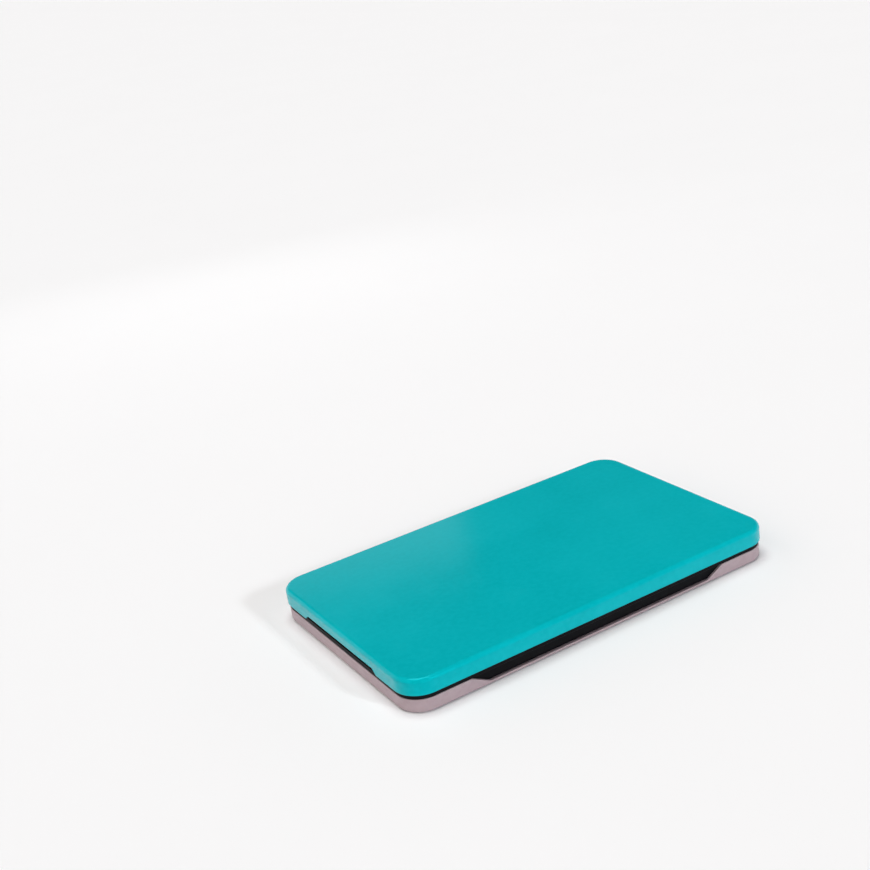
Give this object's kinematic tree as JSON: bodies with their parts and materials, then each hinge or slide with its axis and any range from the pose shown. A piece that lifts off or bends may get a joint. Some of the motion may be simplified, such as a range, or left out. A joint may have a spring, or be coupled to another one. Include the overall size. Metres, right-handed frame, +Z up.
{
  "type": "wet palette",
  "caption": "Flat rectangular wet palette for paint: a rounded lid with a seal lifts off a low base that holds a water tray, a sponge, a paper sheet and a strip of slanted wells.",
  "frame": {"origin": "on the ground, under the middle of the case", "axes": "+X along the long side, +Y to the back, +Z up, out of the lid"},
  "size_m": [0.24, 0.15, 0.02],
  "materials": {
    "lid_plastic": "satin teal, finely textured",
    "seal_rubber": "matt dark silicone",
    "base_plastic": "matt warm grey, finely textured",
    "tray_plastic": "satin black",
    "foot_rubber": "matt black",
    "sponge_foam": "open-cell foam, pale yellow",
    "membrane_paper": "thin translucent paper",
    "strip_plastic": "smooth white"
  },
  "bodies": {
    "base": {"base_shell": "base_plastic", "water_tray": "tray_plastic", "front_left_foot": "foot_rubber", "front_right_foot": "foot_rubber", "back_left_foot": "foot_rubber", "back_right_foot": "foot_rubber", "hydration_sponge": "sponge_foam", "membrane_sheet": "membrane_paper", "mini_palette": "strip_plastic"},
    "lid": {"lid_shell": "lid_plastic", "lid_seal": "seal_rubber"}
  },
  "joints": [
    {"name": "lid_lift", "type": "slide", "parent": "base", "child": "lid", "axis": [0, 0, 1], "range_m": [0, 0.06]}
  ]
}
